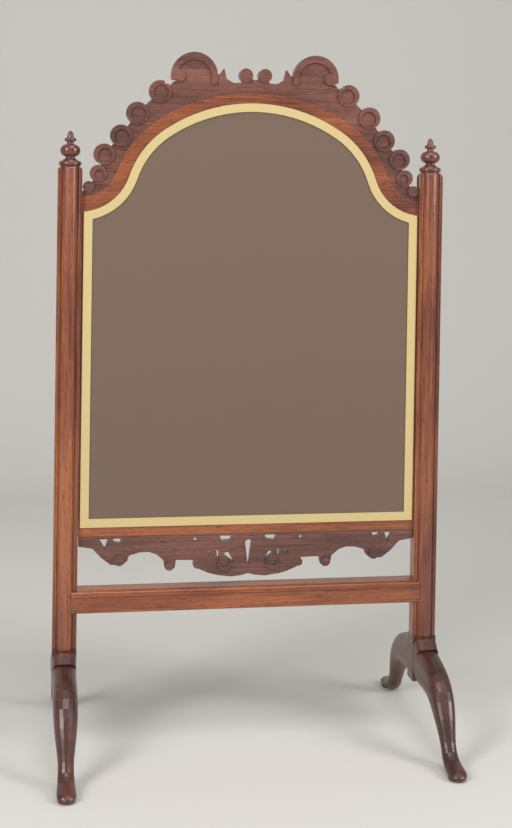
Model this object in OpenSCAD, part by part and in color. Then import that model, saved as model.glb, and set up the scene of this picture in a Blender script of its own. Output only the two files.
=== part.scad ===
// Mahogany cheval fire screen, about 1760: a needlework panel that slides up between two
// moulded posts, each standing on a pair of cabriole legs, with a moulded stretcher low down.
// X runs to the right seen from the front, Y away from the viewer, Z up from the floor.

/* [Posts] */
// Distance between the axes of the two posts
post_spacing = 600; // [580:1:760]
// Width of a post across its face
post_w = 39; // [36:1:46]
// Depth of a post between the flats of its two faces
post_d = 22; // [20:1:28]
// Width of the half round that runs up each face
round_w = 25; // [20:1:28]
// How far the half round stands out from the flat
round_out = 8; // [5:0.5:10]
// Radius of the small bead on each side of the half round
bead_r = 1.6; // [1:0.1:2.2]
// Height of the shoulder where a post stands on its legs
post_foot_z = 162; // [150:1:190]
// Height of the top of a post, under its finial
post_top_z = 940; // [920:1:1000]
// Depth of the groove that guides the panel
groove_depth = 9; // [7:0.5:10]

/* [Legs] */
// Distance from a post's axis to the middle of a foot
leg_reach = 204; // [180:1:240]
// Height of the block at the head of a leg
leg_block_h = 75; // [65:1:85]
// Radius of the flat sole under a foot
sole_r = 13; // [10:0.5:15]
// Half width of a leg at its ankle
ankle_r = 12.4; // [10:0.2:15]

/* [Finials] */
// Height of a finial above its post
finial_h = 59; // [50:1:70]
// Radius of the ring at the foot of a finial
finial_ring_r = 18.4; // [15:0.2:19]
// Radius of the ball
finial_ball_r = 16.3; // [13:0.1:17]

/* [Stretcher] */
// Height of the lower edge of the stretcher
stretcher_z = 220; // [190:1:225]
// Height of the stretcher's section
stretcher_h = 37; // [30:1:42]
// Depth of the stretcher's section
stretcher_d = 32; // [26:1:36]
// Length of the tenon at each end
stretcher_tenon = 28; // [20:1:32]

/* [Panel] */
// Height of the panel's lower edge when it is down
panel_z = 342; // [335:1:360]
// Height of the crown of the arch, at the outer edge of the braid
crown_z = 1050; // [1040:1:1100]
// Thickness of the frame
frame_t = 17; // [15:0.5:19]
// Plain face of the bottom rail below the braid
rail_face = 15; // [12:1:22]
// Plain band above the braid at the crown
band_crown = 16.5; // [12:0.5:20]
// Plain band above the braid at the shoulders
band_shoulder = 24; // [20:0.5:28]
// Width of the ledge that carries the strainer
ledge_w = 22; // [18:1:26]
// Thickness of the ledge
ledge_t = 8; // [6:0.5:9]
// Width of the tongue that runs in each groove
tongue_t = 8; // [6:0.5:9]
// How far the panel can be raised
travel = 200; // [150:5:220]

/* [Arch] */
// Radius of the crown of the arch
arch_r = 262; // [255:1:268]
// Radius of the haunches
haunch_r = 150; // [146:1:152]
// Radius of the hollow sweep down to the shoulders
sweep_r = 85; // [82:1:88]

/* [Needlework] */
// Width of the strainer's members
strainer_w = 42; // [34:1:50]
// Thickness of the needlework with its canvas
needlework_t = 1; // [0.6:0.1:1.5]
// Width of the gimp braid
braid_w = 14; // [10:0.5:16]
// Thickness of the gimp braid
braid_t = 1.6; // [1:0.1:2]

/* [Carving] */
// Thickness of the boards that the cresting and the apron are carved from
carving_t = 13; // [11:0.5:15]
// How far the scrolls stand out from their board
relief = 3; // [2:0.5:4]
// Radius of the large scroll
scroll_r = 38; // [34:1:40]
// Depth of the apron below the bottom rail
apron_h = 72; // [64:1:76]

/* [Hidden] */

$fn = 64;
mahogany = "#7a4028";
mahogany_dark = "#53302a";
glue_gap = 0.1;
run_gap = 0.3;
joint_gap = 0.2;
eps = 1;

// Posts
post_x = post_spacing / 2;
post_inner_x = post_x - post_w / 2;
face_y = post_d / 2;
round_arc_r = (pow(round_w / 2, 2) + pow(round_out, 2)) / (2 * round_out);
post_front_y = face_y + round_out;
post_tenon = 20;
post_tenon_h = 45;
spigot_r = 7;
spigot_h = 22;

// Panel, front to back
frame_front_y = -5;
frame_back_y = frame_front_y + frame_t;
ledge_y = frame_back_y - ledge_t;
groove_y = 3;
groove_top_x = post_inner_x + groove_depth;
panel_half = post_inner_x - run_gap;
tongue_x = groove_top_x - 1.2;
lip_w = 2.7;
cloth_half = panel_half - lip_w;
cloth_z = panel_z + rail_face;
groove_bottom_z = panel_z - run_gap;
tongue_top_z = post_top_z - travel - run_gap;
stile_inner_x = cloth_half - ledge_w;
stile_top_z = panel_z + 478;
rail_h = rail_face + ledge_w;

// Headings, in degrees below the horizontal, at which the arcs of the arch change
arch_h = 34;
haunch_h = 72;
sweep_h = 8;
arc_steps = 9;

// Strainer, needlework and braid, front to back
strainer_t = ledge_y - frame_front_y - joint_gap;
strainer_front_y = ledge_y - strainer_t;
needlework_y = strainer_front_y - needlework_t;
braid_y = needlework_y - braid_t;
backing_t = 0.8;

// Draws a profile given in X and Z, from y0 at the front to y1 at the back
module slab(y0, y1) {
    translate([0, y1, 0]) rotate([90, 0, 0]) linear_extrude(y1 - y0) children();
}

module left() {
    mirror([1, 0, 0]) children();
}

// The arch, from the crown outwards: points on three tangent arcs, moved outwards by an offset
// that changes evenly from the crown to the shoulder
function sweep_point(p, r, h0, h) = p + r * [sin(h) - sin(h0), cos(h) - cos(h0)];
haunch_p = sweep_point([0, crown_z], arch_r, 0, arch_h);
sweep_p = sweep_point(haunch_p, haunch_r, arch_h, haunch_h);
shoulder_p = sweep_point(sweep_p, -sweep_r, haunch_h, sweep_h);
function arch_point(u) =
    u < 1 ? sweep_point([0, crown_z], arch_r, 0, arch_h * u) :
    u < 2 ? sweep_point(haunch_p, haunch_r, arch_h, arch_heading(u)) :
    sweep_point(sweep_p, -sweep_r, haunch_h, arch_heading(u));
function arch_heading(u) =
    u < 1 ? arch_h * u :
    u < 2 ? arch_h + (haunch_h - arch_h) * (u - 1) :
    haunch_h + (sweep_h - haunch_h) * (u - 2);
function arch_off(u, off0, off1) =
    arch_point(u) + (off0 + (off1 - off0) * u / 3) * [sin(arch_heading(u)), cos(arch_heading(u))];
function arch_curve(off0, off1) = [
    for (i = [0:3 * arc_steps]) arch_off(i / arc_steps, off0, off1)
];
function flip(points) = [for (i = [len(points) - 1:-1:0]) [-points[i][0], points[i][1]]];

// Everything under the arch moved outwards, between x = -half and half and above z0
module under_arch(off0, off1, half, z0) {
    curve = arch_curve(off0, off1);
    end_z = curve[len(curve) - 1][1];
    far = half + 2 * sweep_r;
    intersection() {
        polygon(concat([[-far, z0], [-far, end_z]], flip(curve), curve, [[far, end_z], [far, z0]]));
        translate([-half, z0]) square([2 * half, 2 * crown_z]);
    }
}

// One face of a post's moulding: flats, quirked beads and the half round
module post_section() {
    square([post_w, post_d], center = true);
    for (back = [0, 1]) mirror([0, back]) {
        intersection() {
            translate([0, post_front_y - round_arc_r]) circle(round_arc_r);
            translate([-round_w / 2, 0]) square([round_w, post_front_y]);
        }
        for (s = [-1, 1]) translate([s * (round_w / 2 + bead_r + 1), face_y]) circle(bead_r);
    }
}

module post() {
    tenon_z = stretcher_z + stretcher_h / 2;
    color(mahogany) difference() {
        union() {
            intersection() {
                translate([post_x, 0, post_foot_z])
                    linear_extrude(post_top_z - post_foot_z) post_section();
                // The turned shoulder that takes the corners off the top of the post
                translate([post_x, 0, post_foot_z - eps]) union() {
                    cylinder(r = post_w, h = post_top_z - post_foot_z - 7);
                    translate([0, 0, post_top_z - post_foot_z - 7 - eps])
                        cylinder(r1 = post_w / 2 + 5, r2 = post_w / 2 - 1.5, h = 7 + 2 * eps);
                }
            }
            translate([post_x - post_tenon / 2, -post_tenon / 2, post_foot_z - post_tenon_h])
                cube([post_tenon, post_tenon, post_tenon_h + eps]);
        }
        translate([post_inner_x - eps, groove_y - tongue_t / 2 - run_gap, groove_bottom_z])
            cube([groove_depth + eps, tongue_t + 2 * run_gap, post_top_z]);
        translate([post_x, 0, post_top_z - spigot_h - glue_gap])
            cylinder(r = spigot_r + glue_gap, h = post_top_z);
        translate([post_inner_x - eps, -stretcher_tenon_t / 2 - glue_gap, tenon_z - stretcher_tenon_h / 2 - glue_gap])
            cube([stretcher_tenon + glue_gap + eps, stretcher_tenon_t + 2 * glue_gap, stretcher_tenon_h + 2 * glue_gap]);
    }
}

// Turned finial with a spigot that is glued into the top of the post
module finial_profile() {
    ring_z = 6;
    ring_t = 4.5;
    dome_z = 8;
    dome_r = 9;
    neck_r = 7.5;
    ball_z = finial_h - 32;
    ball_t = 10;
    collar_z = finial_h - 14.5;
    collar_t = 3;
    bud_z = finial_h - 12.5;
    bud_r = 5.6;
    translate([0, -spigot_h]) square([spigot_r, spigot_h + eps]);
    square([finial_ring_r - 3, 3]);
    translate([finial_ring_r - ring_t, ring_z]) circle(ring_t);
    translate([0, ring_z - ring_t]) square([finial_ring_r - ring_t, 2 * ring_t]);
    intersection() {
        translate([finial_ring_r - ring_t - dome_r, dome_z - 2]) circle(dome_r);
        square([finial_ring_r, finial_h]);
    }
    square([neck_r, ball_z]);
    translate([finial_ball_r - ball_t, ball_z]) circle(ball_t);
    translate([0, ball_z - ball_t]) square([finial_ball_r - ball_t, 2 * ball_t]);
    square([bud_r, collar_z]);
    translate([finial_ball_r / 2 - 1.4, collar_z]) circle(collar_t);
    translate([0, collar_z - collar_t]) square([finial_ball_r / 2 - 1.4, 2 * collar_t]);
    polygon(concat([[0, collar_z]], [
        for (a = [0:15:90]) [bud_r * cos(a), bud_z + (finial_h - bud_z) * sin(a)]
    ]));
}

module finial() {
    color(mahogany_dark) translate([post_x, 0, post_top_z]) rotate_extrude() intersection() {
        finial_profile();
        translate([0, -spigot_h]) square([finial_ring_r, spigot_h + finial_h]);
    }
}

// Stretcher: bead, fascia, fillet, ovolo and fillet on the front, plain behind
stretcher_tenon_t = 12;
stretcher_tenon_h = 24;
stretcher_bead_r = 2.5;
module stretcher_section() {
    front = -stretcher_d / 2;
    back = stretcher_d / 2;
    low_h = 5;
    ovolo_r = 5;
    fillet_out = 2.5;
    fillet_h = 3;
    top_h = 2;
    fillet_z = stretcher_h - top_h - ovolo_r - fillet_h;
    ovolo_x = front + ovolo_r - 1.5;
    // Bead along the lower edge, with a quirk above it
    translate([front + stretcher_bead_r, stretcher_bead_r]) circle(stretcher_bead_r);
    translate([front + stretcher_bead_r, 0]) square([back - front - stretcher_bead_r, low_h]);
    translate([front + 1, stretcher_bead_r]) square([back - front - 1, fillet_z - stretcher_bead_r]);
    // Fascia
    translate([front, low_h + 1]) square([back - front, fillet_z - low_h - 2]);
    // Fillet, ovolo and top fillet
    translate([front - fillet_out, fillet_z]) square([back - front + fillet_out, fillet_h]);
    intersection() {
        translate([ovolo_x, fillet_z + fillet_h]) circle(ovolo_r);
        translate([front - fillet_out, fillet_z]) square([back - front, stretcher_h - fillet_z]);
    }
    translate([ovolo_x, fillet_z]) square([back - ovolo_x, stretcher_h - fillet_z]);
}

module stretcher() {
    tenon_z = stretcher_z + stretcher_h / 2;
    scribe_x = post_x - round_w / 2 + 3;
    color(mahogany) union() {
        difference() {
            translate([-scribe_x, 0, stretcher_z]) rotate([90, 0, 90])
                linear_extrude(2 * scribe_x) stretcher_section();
            for (s = [-1, 1]) translate([s * post_x, 0, stretcher_z - eps]) {
                translate([-post_w / 2, -face_y - 2.2 * bead_r, 0])
                    cube([post_w, 2 * face_y + 4.4 * bead_r, stretcher_h + 2 * eps]);
                for (f = [-1, 1]) translate([0, f * (post_front_y - round_arc_r), 0])
                    cylinder(r = round_arc_r + joint_gap, h = stretcher_h + 2 * eps);
            }
        }
        translate([-post_inner_x - stretcher_tenon, -stretcher_tenon_t / 2, tenon_z - stretcher_tenon_h / 2])
            cube([2 * (post_inner_x + stretcher_tenon), stretcher_tenon_t, stretcher_tenon_h]);
    }
}

// Cabriole leg: sections lofted along a curved path, from the block to the toe.
// Each station gives reach, height, half width, half thickness and squareness.
leg_block_r = 19.2;
leg_mid_z = post_foot_z - leg_block_h / 2;
leg_stations = [
    [6, leg_mid_z, leg_block_r, leg_block_h / 2 - 0.4, 7],
    [18, leg_mid_z, leg_block_r, leg_block_h / 2 - 0.4, 5],
    [26, leg_mid_z - 5, leg_block_r, leg_block_h / 2 - 6, 4],
    [46, leg_mid_z - 9, leg_block_r, leg_block_h / 2 - 8.5, 3.4],
    [72, leg_mid_z - 12, leg_block_r, 27.5, 3],
    [leg_reach - 108, leg_mid_z - 18, leg_block_r, 26, 2.7],
    [leg_reach - 86, leg_mid_z - 31, leg_block_r - 0.3, 22, 2.5],
    [leg_reach - 70, leg_mid_z - 49, leg_block_r - 1.8, 18.4, 2.3],
    [leg_reach - 57, leg_mid_z - 69, ankle_r + 2.2, 14.6, 2.1],
    [leg_reach - 47, leg_mid_z - 88, ankle_r, ankle_r, 2],
    [leg_reach - 37, 22, ankle_r + 0.2, ankle_r - 0.9, 2],
    [leg_reach - 22, 12.5, ankle_r + 1.2, 10.6, 2],
    [leg_reach - 6, 9.6, ankle_r + 2.3, 9.4, 2],
    [leg_reach + 8, 8, ankle_r + 1.8, 8, 2],
    [leg_reach + 15, 6.8, ankle_r - 2, 6, 2],
    [leg_reach + 19, 6, ankle_r - 7.5, 3, 2]
];
leg_sub = 2;
leg_sides = 20;
function station(t) =
    let (n = len(leg_stations), i = min(floor(t), n - 2), f = t - i,
         a = leg_stations[max(i - 1, 0)], b = leg_stations[i],
         c = leg_stations[i + 1], d = leg_stations[min(i + 2, n - 1)])
    0.5 * (2 * b + (c - a) * f + (2 * a - 5 * b + 4 * c - d) * f * f + (3 * b - a - 3 * c + d) * f * f * f);
function power(v, p) = sign(v) * pow(abs(v), 2 / p);
function leg_ring(t) =
    let (q = station(t), a = station(max(t - 0.25, 0)), b = station(min(t + 0.25, len(leg_stations) - 1)),
         run = [b[0] - a[0], b[1] - a[1]] / norm([b[0] - a[0], b[1] - a[1]]))
    [for (k = [0:leg_sides - 1])
        let (g = 360 * (k + 0.5) / leg_sides, w = q[2] * power(cos(g), q[4]), h = q[3] * power(sin(g), q[4]))
        [w, -(q[0] - run[1] * h), q[1] + run[0] * h]];

module leg_loft() {
    n = (len(leg_stations) - 1) * leg_sub;
    m = leg_sides;
    rings = [for (i = [0:n]) leg_ring(i / leg_sub)];
    polyhedron(
        points = [for (r = rings) each r],
        faces = concat(
            [[for (k = [0:m - 1]) k]],
            [for (i = [0:n - 1], k = [0:m - 1])
                [i * m + k, (i + 1) * m + k, (i + 1) * m + (k + 1) % m, i * m + (k + 1) % m]],
            [[for (k = [m - 1:-1:0]) n * m + k]]
        ),
        convexity = 6
    );
}

sole_h = 2;
dowel_r = 4;
dowel_len = 30;
dowel_x = 9;
module leg() {
    color(mahogany_dark) translate([post_x, 0, 0]) difference() {
        union() {
            translate([-post_w / 2, -16, post_foot_z - leg_block_h]) cube([post_w, 16, leg_block_h]);
            difference() {
                leg_loft();
                translate([0, -leg_reach, sole_h / 2 - 20]) cube([100, 200, 40], center = true);
            }
            translate([0, -leg_reach, 0]) cylinder(r = sole_r, h = sole_h + eps);
        }
        translate([-post_tenon / 2 - glue_gap, -post_tenon / 2 - glue_gap, post_foot_z - post_tenon_h - glue_gap])
            cube([post_tenon + 2 * glue_gap, post_tenon, post_tenon_h + eps]);
        for (s = [-1, 1]) translate([s * dowel_x, eps, dowel_z])
            rotate([90, 0, 0]) cylinder(r = dowel_r + glue_gap, h = dowel_len / 2 + glue_gap + eps);
    }
}

dowel_z = post_foot_z - leg_block_h + 14;
module leg_dowels() {
    color("burlywood") for (m = [0, 1]) mirror([m, 0, 0])
        for (s = [-1, 1]) translate([post_x + s * dowel_x, dowel_len / 2, dowel_z])
            rotate([90, 0, 0]) cylinder(r = dowel_r, h = dowel_len);
}

// Frame of the panel
rail_tenon_w = 14;
rail_tenon_h = 24;
rail_tenon_t = 4;
rail_tenon_x = stile_inner_x + 3;
module tongue(z0, z1) {
    for (s = [-1, 1]) translate([s > 0 ? panel_half - eps : -tongue_x, groove_y - tongue_t / 2, z0])
        cube([tongue_x - panel_half + eps, tongue_t, z1 - z0]);
}

module tenons(gap, z) {
    for (s = [-1, 1]) translate([s > 0 ? rail_tenon_x - gap : -rail_tenon_x - rail_tenon_w - gap,
                                 frame_back_y - ledge_t / 2 - rail_tenon_t / 2 - gap, z - rail_tenon_h - gap])
        cube([rail_tenon_w + 2 * gap, rail_tenon_t + 2 * gap, 2 * (rail_tenon_h + gap)]);
}

module bottom_rail() {
    color(mahogany) difference() {
        union() {
            translate([-panel_half, frame_front_y, panel_z]) cube([2 * panel_half, frame_t, rail_face]);
            translate([-panel_half, ledge_y, panel_z]) cube([2 * panel_half, ledge_t, rail_h]);
            translate([-panel_half, frame_front_y, panel_z]) cube([lip_w, frame_t, rail_h]);
            translate([panel_half - lip_w, frame_front_y, panel_z]) cube([lip_w, frame_t, rail_h]);
            tongue(panel_z, panel_z + rail_h);
        }
        tenons(glue_gap, panel_z + rail_h);
        screw_holes();
    }
}

// Right stile: lip beside the braid, ledge behind the strainer, tongue in the groove
module stile() {
    z0 = panel_z + rail_h;
    color(mahogany) difference() {
        union() {
            translate([stile_inner_x, ledge_y, z0]) cube([panel_half - stile_inner_x, ledge_t, stile_top_z - z0]);
            translate([panel_half - lip_w, frame_front_y, z0]) cube([lip_w, frame_t, stile_top_z - z0]);
            intersection() {
                tongue(z0, tongue_top_z);
                translate([0, -post_w, 0]) cube([post_x, 2 * post_w, post_top_z]);
            }
            intersection() {
                union() {
                    tenons(0, z0);
                    tenons(0, stile_top_z);
                }
                translate([0, -post_w, 0]) cube([post_x, 2 * post_w, crown_z]);
            }
        }
        spring_recess();
        screw_holes();
    }
}

// Arched top rail: the plain band in front, and the ledge behind it
module top_rail() {
    color(mahogany) difference() {
        union() {
            slab(frame_front_y, frame_back_y) difference() {
                under_arch(band_crown, band_shoulder, panel_half, stile_top_z);
                under_arch(0, 0, cloth_half, stile_top_z - eps);
            }
            slab(ledge_y, frame_back_y) difference() {
                under_arch(band_crown, band_shoulder, panel_half, stile_top_z);
                under_arch(-ledge_w, -ledge_w, stile_inner_x, stile_top_z - eps);
            }
        }
        tenons(glue_gap, stile_top_z);
        screw_holes();
    }
}

// Carved cresting. Its scrolls lie on rays from the centre of the crown's arc:
// each entry gives the angle from the vertical, the distance outside the band and the radius.
crest_front_y = frame_front_y + 1;
crest_lobes = [
    [29.4, 40.7, 18],
    [38.6, 31.1, 18],
    [46.9, 21.5, 17.5],
    [54.7, 22.9, 17],
    [60.7, 14, 13.5]
];
volute_r = 9;
crest_joint_x = 36;
scroll_a = 18.3;
scroll_off = 42.9;
centre_volute_r = 11.2;
centre_volute_x = 15.8;
centre_volute_off = 29;
function ray(a, off) = [0, crown_z - arch_r] + (arch_r + band_crown + off) * [sin(a), cos(a)];
lobe_p = [for (q = crest_lobes) ray(q[0], q[1])];
scroll_p = ray(scroll_a, scroll_off);
volute_p = [panel_half - volute_r - 1, shoulder_p[1] + band_shoulder + volute_r + 7];

module crest_body() {
    tip = scroll_p + [-scroll_r - 11, 13];
    difference() {
        union() {
            polygon(concat(
                [[crest_joint_x, crown_z], [crest_joint_x, crown_z + band_crown + 16]],
                [scroll_p + [-scroll_r - 15, -4], tip, scroll_p + [-scroll_r - 4, 3]],
                [scroll_p, scroll_p + [33, -10], lobe_p[0] + [-14, 8]],
                lobe_p,
                [volute_p, [panel_half, shoulder_p[1] + band_shoulder + 8], [panel_half, shoulder_p[1]]]
            ));
            intersection() {
                translate(scroll_p) circle(scroll_r);
                translate(scroll_p - [scroll_r, 8]) square([2 * scroll_r, 2 * scroll_r]);
            }
            for (i = [0:len(lobe_p) - 1]) translate(lobe_p[i]) circle(crest_lobes[i][2]);
            translate(volute_p) circle(volute_r);
        }
        under_arch(band_crown + glue_gap, band_shoulder + glue_gap, post_x, 0);
        // The neck under the large scroll's outer end
        translate(scroll_p + [37, -10]) rotate(-12) {
            circle(3);
            translate([0, -3]) square([12, 5]);
        }
    }
}

module crest_side() {
    color(mahogany_dark) union() {
        slab(crest_front_y, crest_front_y + carving_t) crest_body();
        slab(crest_front_y - relief, crest_front_y + eps) intersection() {
            crest_body();
            union() {
                difference() {
                    translate(scroll_p) circle(scroll_r);
                    translate(scroll_p - [0, 3]) circle(scroll_r - 9);
                    translate(scroll_p - [scroll_r, scroll_r + 12]) square([2 * scroll_r, scroll_r]);
                }
                for (i = [0:len(lobe_p) - 1]) difference() {
                    translate(lobe_p[i]) circle(crest_lobes[i][2]);
                    translate(lobe_p[i] - [2, 2]) circle(crest_lobes[i][2] - 5);
                }
                translate(volute_p) circle(volute_r);
                translate(scroll_p + [24, -1]) circle(volute_r);
            }
        }
    }
}

module crest_centre() {
    vol_z = crown_z + band_crown + centre_volute_off;
    color(mahogany_dark) union() {
        slab(crest_front_y, crest_front_y + carving_t) difference() {
            union() {
                polygon([
                    [-crest_joint_x + glue_gap, crown_z], [-crest_joint_x + glue_gap, crown_z + band_crown + 16],
                    [-centre_volute_x - 8, vol_z - 12], [-centre_volute_x, vol_z], [0, vol_z - 8],
                    [centre_volute_x, vol_z], [centre_volute_x + 8, vol_z - 12],
                    [crest_joint_x - glue_gap, crown_z + band_crown + 16], [crest_joint_x - glue_gap, crown_z]
                ]);
                for (s = [-1, 1]) translate([s * centre_volute_x, vol_z]) circle(centre_volute_r);
            }
            under_arch(band_crown + glue_gap, band_shoulder + glue_gap, post_x, 0);
        }
        slab(crest_front_y - relief, crest_front_y + eps)
            for (s = [-1, 1]) translate([s * centre_volute_x, vol_z]) circle(centre_volute_r);
    }
}

// Pierced apron under the bottom rail, drawn from the middle outwards on the right
module apron_half() {
    top = panel_z - glue_gap;
    low = panel_z - apron_h;
    difference() {
        union() {
            polygon([
                [0, top], [0, low + 5], [10, low + 2], [28, low], [51, low + 3], [66, low + 7], [80, low + 13],
                [90, low + 18], [88, low + 29], [120, low + 30], [122, low + 17], [138, low + 17],
                [140.5, low + 30], [152, low + 40], [165, low + 44.5], [180, low + 44], [197, low + 39],
                [200, low + 30], [209, low + 24], [227, low + 25], [242.5, low + 37], [256.5, low + 52],
                [apron_end, low + 56], [apron_end, top]
            ]);
            translate([130.5, low + 21]) circle(8.4);
            translate([213, low + 33]) circle(10.5);
            translate([40, low + 22]) circle(12);
            translate([85, low + 21]) circle(6.5);
        }
        // Keyhole slot in the middle
        translate([0, low + 55]) circle(5.6);
        polygon([[-5, low + 53], [5, low + 53], [1, low + 20], [-1, low + 20]]);
        // Leaf-shaped openings
        hole_tear([24, low + 24], [36, low + 37]);
        polygon([[27, top - 4], [48, top - 4], [44, low + 58], [30, low + 60]]);
        polygon([[49, low + 44], [53, low + 44], [52, low + 31], [49, low + 31]]);
        polygon([[62, low + 43], [66, low + 43], [64.5, low + 34]]);
        translate([85.5, low + 59]) square([5.5, 6.5]);
        polygon([[209, top - 4.5], [224, top - 4.5], [221, low + 61], [212, low + 59]]);
        polygon([[231, top - 5], [246, top - 5], [236, low + 51]]);
    }
}

// A pointed opening with a round head at b and its point at a
module hole_tear(a, b) {
    d = (b - a) / norm(b - a);
    polygon([a, b + 3.8 * [-d[1], d[0]], b + 3.8 * [d[1], -d[0]]]);
    translate(b) circle(3.9);
}

apron_end = panel_half - 1;
module apron() {
    low = panel_z - apron_h;
    color(mahogany_dark) union() {
        slab(crest_front_y, crest_front_y + carving_t) union() {
            apron_half();
            mirror([1, 0]) apron_half();
        }
        for (m = [0, 1]) mirror([m, 0, 0]) slab(crest_front_y - relief, crest_front_y + eps) {
            translate([130.5, low + 21]) circle(7);
            translate([213, low + 33]) circle(8.5);
            difference() {
                translate([40, low + 22]) circle(11);
                translate([40, low + 26]) circle(9);
            }
        }
    }
}

// Strainer: four members and a bar, screwed to the ledge from behind
strainer_half = cloth_half - joint_gap;
strainer_inner = strainer_half - strainer_w;
strainer_low = cloth_z + joint_gap;
bar_z = panel_z + 290;
module member(x0, x1, z0, z1) {
    color("tan") difference() {
        translate([x0, strainer_front_y, z0]) cube([x1 - x0, strainer_t, z1 - z0]);
        screw_holes();
    }
}

module strainer_top() {
    color("tan") difference() {
        slab(strainer_front_y, ledge_y) difference() {
            under_arch(-joint_gap, -joint_gap, strainer_half, stile_top_z + 6);
            under_arch(-strainer_w, -strainer_w, strainer_inner, stile_top_z + 5);
        }
        screw_holes();
    }
}

// Screws through the ledge into the strainer
screw_r = 1.6;
screw_head_r = 3.2;
screw_head_t = 2.4;
screw_len = ledge_t + strainer_t - 2;
screw_x = cloth_half - ledge_w / 2;
screw_points = concat(
    [for (s = [-1, 1], z = [panel_z + 110, panel_z + 290, panel_z + 450]) [s * screw_x, z]],
    [for (s = [-1, 1]) [s * post_x * 0.4, cloth_z + ledge_w / 2]],
    [for (s = [-1, 1]) [s * arch_off(0.6, -ledge_w / 2, -ledge_w / 2)[0], arch_off(0.6, -ledge_w / 2, -ledge_w / 2)[1]]]
);
module screw_shape(gap) {
    rotate([90, 0, 0]) {
        cylinder(r = screw_r + gap, h = screw_len + gap);
        cylinder(r1 = screw_head_r + gap, r2 = screw_r + gap, h = screw_head_t);
    }
}

module screw_holes() {
    for (p = screw_points) translate([p[0], frame_back_y, p[1]]) screw_shape(glue_gap);
}

module strainer_screws() {
    color("darkgoldenrod") for (p = screw_points) translate([p[0], frame_back_y, p[1]]) screw_shape(0);
}

// Needlework stretched over the strainer, braid along its edge, and linen behind
module needlework() {
    color("#5b4a3e") slab(needlework_y, strainer_front_y)
        under_arch(-joint_gap, -joint_gap, strainer_half, strainer_low);
}

module braid() {
    color("#d9bf78") slab(braid_y, needlework_y) difference() {
        under_arch(-joint_gap, -joint_gap, strainer_half, strainer_low);
        under_arch(-braid_w, -braid_w, strainer_half - braid_w, strainer_low + braid_w);
    }
}

module backing() {
    color("#b9a988") slab(ledge_y, ledge_y + backing_t)
        under_arch(-ledge_w - 1, -ledge_w - 1, stile_inner_x - 1, cloth_z + ledge_w + 1);
}

// Bow spring let into the edge of each tongue, which holds the panel where it is lifted to
spring_z = panel_z + 80;
spring_len = 80;
spring_rise = 3;
spring_t = 0.8;
spring_w = 5;
recess_depth = 4.2;
spring_base_x = tongue_x - recess_depth;
spring_bow_r = (pow(spring_len / 2, 2) + pow(spring_rise, 2)) / (2 * spring_rise);
module spring_recess() {
    translate([spring_base_x, groove_y - tongue_t, spring_z - 6])
        cube([recess_depth + eps, 2 * tongue_t, spring_len + 22]);
    translate([spring_base_x + eps, groove_y, spring_z + spring_len + 6])
        rotate([0, -90, 0]) cylinder(r = 1 + glue_gap, h = 7 + eps);
}

module spring() {
    color("darkgoldenrod") difference() {
        translate([0, groove_y + spring_w / 2, 0]) rotate([90, 0, 0]) linear_extrude(spring_w) {
            intersection() {
                difference() {
                    translate([spring_base_x + spring_rise + spring_t - spring_bow_r, spring_z + spring_len / 2])
                        circle(spring_bow_r, $fn = 180);
                    translate([spring_base_x + spring_rise - spring_bow_r, spring_z + spring_len / 2])
                        circle(spring_bow_r, $fn = 180);
                }
                translate([spring_base_x, spring_z]) square([recess_depth, spring_len]);
            }
            translate([spring_base_x, spring_z + spring_len - 1]) square([spring_t, 12]);
        }
        translate([spring_base_x - eps, groove_y, spring_z + spring_len + 6])
            rotate([0, 90, 0]) cylinder(r = 1 + glue_gap, h = 4);
    }
}

module spring_screws() {
    color("goldenrod") for (m = [0, 1]) mirror([m, 0, 0])
        translate([spring_base_x + spring_t, groove_y, spring_z + spring_len + 6]) {
            rotate([0, 90, 0]) cylinder(r = 2, h = 1.2);
            rotate([0, -90, 0]) cylinder(r = 1, h = 7);
        }
}

left() post();  // left_post
post();  // right_post
left() finial();  // left_finial
finial();  // right_finial
stretcher();
left() leg();  // left_front_leg
left() mirror([0, 1, 0]) leg();  // left_back_leg
leg();  // right_front_leg
mirror([0, 1, 0]) leg();  // right_back_leg
leg_dowels();
bottom_rail();
left() stile();  // left_stile
stile();  // right_stile
top_rail();
left() crest_side();  // crest_left
crest_side();  // crest_right
crest_centre();
apron();
strainer_top();
member(-strainer_half, strainer_half, strainer_low, strainer_low + strainer_w);  // strainer_bottom
member(-strainer_half, -strainer_inner, strainer_low + strainer_w, stile_top_z + 6);  // strainer_left
member(strainer_inner, strainer_half, strainer_low + strainer_w, stile_top_z + 6);  // strainer_right
member(-strainer_inner, strainer_inner, bar_z, bar_z + strainer_w);  // strainer_bar
strainer_screws();
needlework();
braid();
backing();
left() spring();  // left_spring
spring();  // right_spring
spring_screws();
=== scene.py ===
# %% [markdown]
# # Finishes and light for a mahogany fire screen
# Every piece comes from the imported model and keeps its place. This lesson adds the polish on
# the wood, the dull metals, the pale room and the camera. The needlework, braid and linen are
# still the model's own plain sheets, in its own plain colours.

# %% Load the model
import bpy
import math
import numpy as np
from mathutils import Matrix

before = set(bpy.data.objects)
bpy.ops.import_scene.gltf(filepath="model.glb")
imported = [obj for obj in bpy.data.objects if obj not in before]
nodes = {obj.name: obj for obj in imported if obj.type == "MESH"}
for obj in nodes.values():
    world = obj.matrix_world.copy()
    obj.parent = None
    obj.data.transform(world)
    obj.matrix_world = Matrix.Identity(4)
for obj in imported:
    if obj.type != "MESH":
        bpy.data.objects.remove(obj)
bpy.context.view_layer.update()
MM = 0.001

# %% [markdown]
# ## The camera
# The screen was seen from a little to the left, at the height of the panel's middle, with the
# lens slid down so that the posts stay upright. A level camera with a shifted lens draws that;
# a camera tipped down would make the posts lean together.

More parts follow.
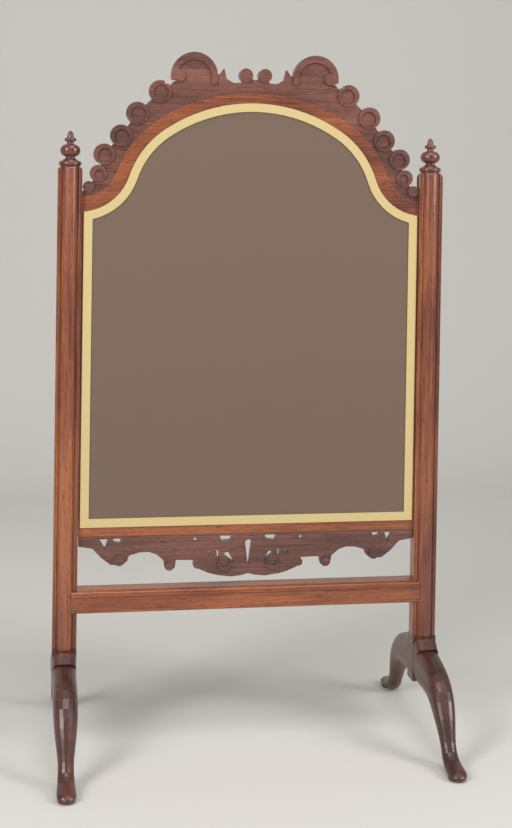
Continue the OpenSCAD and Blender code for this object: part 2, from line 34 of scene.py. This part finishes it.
# %% Camera
IMAGE_H = 828
SENSOR_MM = 36.0
camera_at = (-0.3734, -2.2722, 0.9116)
camera_yaw = math.radians(9.448)
camera_pitch = math.radians(-1.088)
camera_roll = math.radians(0.886)
focal_px = 1398.1
lens_drop_px = 199.7

ahead = np.array([math.sin(camera_yaw) * math.cos(camera_pitch),
                  math.cos(camera_yaw) * math.cos(camera_pitch), math.sin(camera_pitch)])
level_right = np.array([math.cos(camera_yaw), -math.sin(camera_yaw), 0.0])
level_up = np.cross(level_right, ahead)
right = math.cos(camera_roll) * level_right + math.sin(camera_roll) * level_up
up = -math.sin(camera_roll) * level_right + math.cos(camera_roll) * level_up

camera_data = bpy.data.cameras.new("camera")
camera_data.sensor_fit = "VERTICAL"
camera_data.sensor_height = SENSOR_MM
camera_data.lens = focal_px / IMAGE_H * SENSOR_MM
camera_data.shift_y = -lens_drop_px / IMAGE_H
camera_data.clip_start = 0.05
camera = bpy.data.objects.new("camera", camera_data)
bpy.context.scene.collection.objects.link(camera)
turn = np.eye(4)
turn[:3, 0], turn[:3, 1], turn[:3, 2], turn[:3, 3] = right, up, -ahead, camera_at
camera.matrix_world = Matrix(turn.tolist())
bpy.context.scene.camera = camera
print("lens", round(camera_data.lens, 2), "mm")

# %% [markdown]
# ## Helpers
# Colours are written as hex sRGB, the way a paint chart gives them, and one function turns
# them into the linear values that the shader works in. Another adds one node with its
# settings and its links.

# %% Colours and nodes
def linear(hex_colour):
    """sRGB hex to linear RGBA: below 0.04045 divide by 12.92, above it the 2.4 power law."""
    srgb = np.array([int(hex_colour[i:i + 2], 16) for i in (1, 3, 5)]) / 255.0
    rgb = np.where(srgb <= 0.04045, srgb / 12.92, ((srgb + 0.055) / 1.055) ** 2.4)
    return (*[float(v) for v in rgb], 1.0)


def add(material, kind, settings=None, **links):
    """One node of this kind. Settings go on the node itself. A link named after an input, or
    in0, in6 and so on for its number, is a value or an output socket to join to it."""
    tree = material.node_tree
    node = tree.nodes.new(kind)
    for name, value in (settings or {}).items():
        setattr(node, name, value)
    for name, value in links.items():
        by_number = name.startswith("in") and name[2:].isdigit()
        socket = node.inputs[int(name[2:]) if by_number else name.replace("_", " ")]
        if isinstance(value, bpy.types.NodeSocket):
            tree.links.new(value, socket)
        else:
            socket.default_value = value
    return node


def new_material(name):
    """An empty node material and its Principled shader, already joined to the output."""
    material = bpy.data.materials.new(name)
    material.use_nodes = True
    material.node_tree.nodes.clear()
    shader = add(material, "ShaderNodeBsdfPrincipled")
    add(material, "ShaderNodeOutputMaterial", Surface=shader.outputs["BSDF"])
    return material, shader


def join(material, output, shader, name):
    material.node_tree.links.new(output, shader.inputs[name])


def ramp(material, factor, stops):
    """A colour ramp through (place, hex colour) stops."""
    node = add(material, "ShaderNodeValToRGB", Fac=factor)
    band = node.color_ramp
    while len(band.elements) < len(stops):
        band.elements.new(0.5)
    for element, (place, colour) in zip(band.elements, stops):
        element.position = place
        element.color = linear(colour)
    return node.outputs["Color"]


def stretched(material, coords, along, across_mm, along_mm):
    """Object coordinates scaled so that a noise cell is across_mm wide and along_mm long."""
    scale = [1.0 / (across_mm * MM)] * 3
    scale["xyz".index(along)] = 1.0 / (along_mm * MM)
    return add(material, "ShaderNodeMapping", Vector=coords, Scale=scale).outputs["Vector"]

# %% [markdown]
# ## Mahogany
# Mahogany, planed, waxed and then left for two and a half centuries. The grain runs along each
# piece as long streaks a few millimetres wide, with short dark pores in it, and the colour
# drifts slowly from orange brown to a cooler brown. Old wax gives a soft coat over it. One
# function makes each tone, told which way the grain runs. Carved pieces and legs have dirt
# rubbed into them, so they get a share of grime and an even, duller gloss.

# %% Mahogany
STREAK_MM = 2.6
STREAK_LONG_MM = 90
PORE_MM = 0.9
PORE_LONG_MM = 14
FIGURE_MM = 60
FIGURE_LONG_MM = 5 * FIGURE_MM
FIGURE_SHARE = 0.55
PORE_DEPTH = 0.4 * MM
STREAK_DEPTH = 0.8 * MM
GRIME_SHARE = 0.1354


def mahogany(name, along, pale, middle, dark, polish=0.32, dirt=None):
    """A waxed mahogany whose grain runs along x, y or z. Its roughness follows the streaks
    round the polish, or is the polish itself all over where dirt has a colour."""
    material, shader = new_material(name)
    coords = add(material, "ShaderNodeTexCoord").outputs["Object"]
    figure = add(material, "ShaderNodeTexNoise", Scale=1.0, Detail=3.0, Distortion=0.6,
                 Vector=stretched(material, coords, along, FIGURE_MM, FIGURE_LONG_MM))
    streak = add(material, "ShaderNodeTexNoise", Scale=1.0, Detail=4.0, Roughness=0.62,
                 Distortion=0.35,
                 Vector=stretched(material, coords, along, STREAK_MM, STREAK_LONG_MM))
    pore = add(material, "ShaderNodeTexNoise", Scale=1.0, Detail=2.0,
               Vector=stretched(material, coords, along, PORE_MM, PORE_LONG_MM))
    figure, streak, pore = (noise.outputs["Fac"] for noise in (figure, streak, pore))
    grain = add(material, "ShaderNodeMath", {"operation": "MULTIPLY_ADD"},
                in0=figure, in1=FIGURE_SHARE, in2=0.0)
    grain = add(material, "ShaderNodeMath", {"operation": "MULTIPLY_ADD"},
                in0=streak, in1=1.0 - FIGURE_SHARE, in2=grain.outputs["Value"])
    wood = ramp(material, grain.outputs["Value"], [(0.36, dark), (0.48, middle), (0.62, pale)])
    pores = add(material, "ShaderNodeMapRange", Value=pore, From_Min=0.60, From_Max=0.68)
    wood = add(material, "ShaderNodeMix", {"data_type": "RGBA", "blend_type": "MULTIPLY"},
               in0=pores.outputs["Result"], in6=wood, in7=linear("#8c7a72")).outputs[2]
    if dirt:
        wood = add(material, "ShaderNodeMix", {"data_type": "RGBA"}, in0=GRIME_SHARE,
                   in6=wood, in7=linear(dirt)).outputs[2]
        shader.inputs["Roughness"].default_value = polish
    else:
        gloss = add(material, "ShaderNodeMapRange", Value=streak, From_Min=0.3, From_Max=0.7,
                    To_Min=polish - 0.05, To_Max=polish + 0.1)
        join(material, gloss.outputs["Result"], shader, "Roughness")
    bump = add(material, "ShaderNodeBump", Height=pore, Strength=0.12, Distance=PORE_DEPTH)
    bump = add(material, "ShaderNodeBump", Height=streak, Strength=0.08, Distance=STREAK_DEPTH,
               Normal=bump.outputs["Normal"])
    join(material, wood, shader, "Base Color")
    join(material, bump.outputs["Normal"], shader, "Normal")
    shader.inputs["Coat Weight"].default_value = 0.35
    shader.inputs["Coat Roughness"].default_value = 0.16
    return material


post_wood = mahogany("mahogany_post", "z", "#a3603b", "#7d432b", "#552c20", polish=0.28)
rail_wood = mahogany("mahogany_rail", "x", "#ab6238", "#8a4a2b", "#613322", polish=0.34)
arch_wood = mahogany("mahogany_arch", "x", "#a25c38", "#86482d", "#5e3326", polish=0.34)
frame_wood = mahogany("mahogany_frame", "z", "#96553a", "#73402c", "#4e2a20", polish=0.4)
carved_wood = mahogany("mahogany_carved", "x", "#8b5748", "#6b4238", "#4a2c27",
                       polish=0.4345, dirt="#1c0f0d")
leg_wood = mahogany("mahogany_leg", "y", "#6a3a2b", "#4a2820", "#2e1815",
                    polish=0.3745, dirt="#1a0d0b")
finial_wood = mahogany("mahogany_finial", "z", "#8a4f3d", "#683a2e", "#452520", polish=0.24)
print("mahogany in 7 tones")

# %% [markdown]
# ## Plain woods and metals
# The strainer is pine with its growth lines, never polished. The springs and screws are
# brass that has gone dull.

# %% Pine and brass
LINE_MM = 5
LINE_LONG_MM = 220
TARNISH_MM = 3


def pine(name, along):
    """Bare pine, gone grey brown: wide soft growth lines along the piece."""
    material, shader = new_material(name)
    coords = add(material, "ShaderNodeTexCoord").outputs["Object"]
    line = add(material, "ShaderNodeTexNoise", Scale=1.0, Detail=3.0, Distortion=0.4,
               Vector=stretched(material, coords, along, LINE_MM, LINE_LONG_MM)).outputs["Fac"]
    colour = ramp(material, line, [(0.35, "#7d5f3f"), (0.5, "#a58458"), (0.65, "#bd9d6c")])
    join(material, colour, shader, "Base Color")
    bump = add(material, "ShaderNodeBump", Height=line, Strength=0.25, Distance=0.6 * MM)
    join(material, bump.outputs["Normal"], shader, "Normal")
    shader.inputs["Roughness"].default_value = 0.72
    return material


def dull_brass(name, pale, dark):
    """Cast or rolled brass, tarnished in patches about 3 mm across."""
    material, shader = new_material(name)
    coords = add(material, "ShaderNodeTexCoord").outputs["Object"]
    patch = add(material, "ShaderNodeTexNoise", Vector=coords, Detail=3.0,
                Scale=1.02 / (TARNISH_MM * MM)).outputs["Fac"]
    join(material, ramp(material, patch, [(0.35, dark), (0.65, pale)]), shader, "Base Color")
    tarnish = add(material, "ShaderNodeMapRange", Value=patch, To_Min=0.52, To_Max=0.3)
    join(material, tarnish.outputs["Result"], shader, "Roughness")
    shader.inputs["Metallic"].default_value = 1.0
    return material


pine_upright = pine("pine_upright", "z")
pine_level = pine("pine_level", "x")
beech = pine("beech_dowel", "y")
brass = dull_brass("brass_dull", "#a98545", "#5e4726")
spring_brass = dull_brass("brass_spring", "#c49d57", "#80612f")
print("plain woods and metals")

# %% Put the finishes on
finishes = [
    (post_wood, ["left_post", "right_post"]),
    (rail_wood, ["stretcher", "bottom_rail"]),
    (arch_wood, ["top_rail"]),
    (frame_wood, ["left_stile", "right_stile"]),
    (carved_wood, ["crest_left", "crest_right", "crest_centre", "apron"]),
    (pine_upright, ["strainer_left", "strainer_right"]),
    (pine_level, ["strainer_top", "strainer_bottom", "strainer_bar"]),
    (brass, ["strainer_screws", "spring_screws"]),
    (spring_brass, ["left_spring", "right_spring"]),
    (beech, ["leg_dowels"]),
    (finial_wood, ["left_finial", "right_finial"]),
    (leg_wood, ["left_front_leg", "left_back_leg", "right_front_leg", "right_back_leg"]),
]
for material, names in finishes:
    for name in names:
        nodes[name].data.materials.clear()
        nodes[name].data.materials.append(material)
print("finished", sum(len(names) for _, names in finishes), "of", len(nodes), "nodes")

# %% [markdown]
# ## The setting
# A pale floor that runs up into a pale wall, and two broad lamps in front, one on each side,
# so that each post shows a bright line down both sides of its half round, as polished
# mahogany does in a room with two windows. The floor and wall are one sheet: a row of points
# across, repeated along a profile that goes flat, bends and rises.

# %% Floor and wall
FLOOR_FRONT_MM = -4000
BEND_START_MM = 1800
BEND_MM = 900
WALL_TOP_MM = 4200
SIDE_MM = 5000.0

bend = np.linspace(0, math.pi / 2, 24)
run = np.concatenate([[FLOOR_FRONT_MM], BEND_START_MM + BEND_MM * np.sin(bend),
                      [BEND_START_MM + BEND_MM]])
rise = np.concatenate([[0], BEND_MM - BEND_MM * np.cos(bend), [WALL_TOP_MM]])
rows = len(run)
points = np.stack([np.tile([-SIDE_MM, SIDE_MM], rows), np.repeat(run, 2), np.repeat(rise, 2)],
                  axis=1)
first = 2 * np.arange(rows - 1)
quads = np.stack([first + 1, first + 3, first + 2, first], axis=1)
ground_mesh = bpy.data.meshes.new("ground")
ground_mesh.from_pydata((points * MM).tolist(), [], quads.tolist())
ground_mesh.polygons.foreach_set("use_smooth", [True] * len(quads))
paper, shader = new_material("pale_paper")
shader.inputs["Base Color"].default_value = linear("#d9d6d0")
shader.inputs["Roughness"].default_value = 0.9
ground_mesh.materials.append(paper)
ground = bpy.data.objects.new("ground", ground_mesh)
bpy.context.scene.collection.objects.link(ground)
print("floor and wall", len(quads), "faces")

# %% Lamps and world
LIT_POINT = (0, 0, 0.6)


def lamp(name, at, width, height, power):
    """A broad rectangular lamp, in metres and watts, that faces the screen."""
    data = bpy.data.lights.new(name, "AREA")
    data.shape = "RECTANGLE"
    data.size, data.size_y = width, height
    data.energy = power
    light = bpy.data.objects.new(name, data)
    bpy.context.scene.collection.objects.link(light)
    back = np.array(at, float) - np.array(LIT_POINT, float)
    back /= np.linalg.norm(back)
    side = np.cross([0.0, 0.0, 1.0], back)
    side /= np.linalg.norm(side)
    pose = np.eye(4)
    pose[:3, 0], pose[:3, 1], pose[:3, 2], pose[:3, 3] = side, np.cross(back, side), back, at
    light.matrix_world = Matrix(pose.tolist())


lamp("left_window", (-2.2, -2.0, 1.9), 0.9, 1.8, 62)
lamp("right_window", (2.3, -1.7, 1.7), 0.8, 1.8, 46)
lamp("top_light", (0.2, -0.9, 3.2), 1.6, 1.2, 26)

world = bpy.data.worlds.new("room")
bpy.context.scene.world = world
world.use_nodes = True
world.node_tree.nodes["Background"].inputs["Color"].default_value = linear("#e6e8ea")
world.node_tree.nodes["Background"].inputs["Strength"].default_value = 0.42
bpy.context.scene.view_settings.view_transform = "Standard"
print("lamps", len(bpy.data.lights))
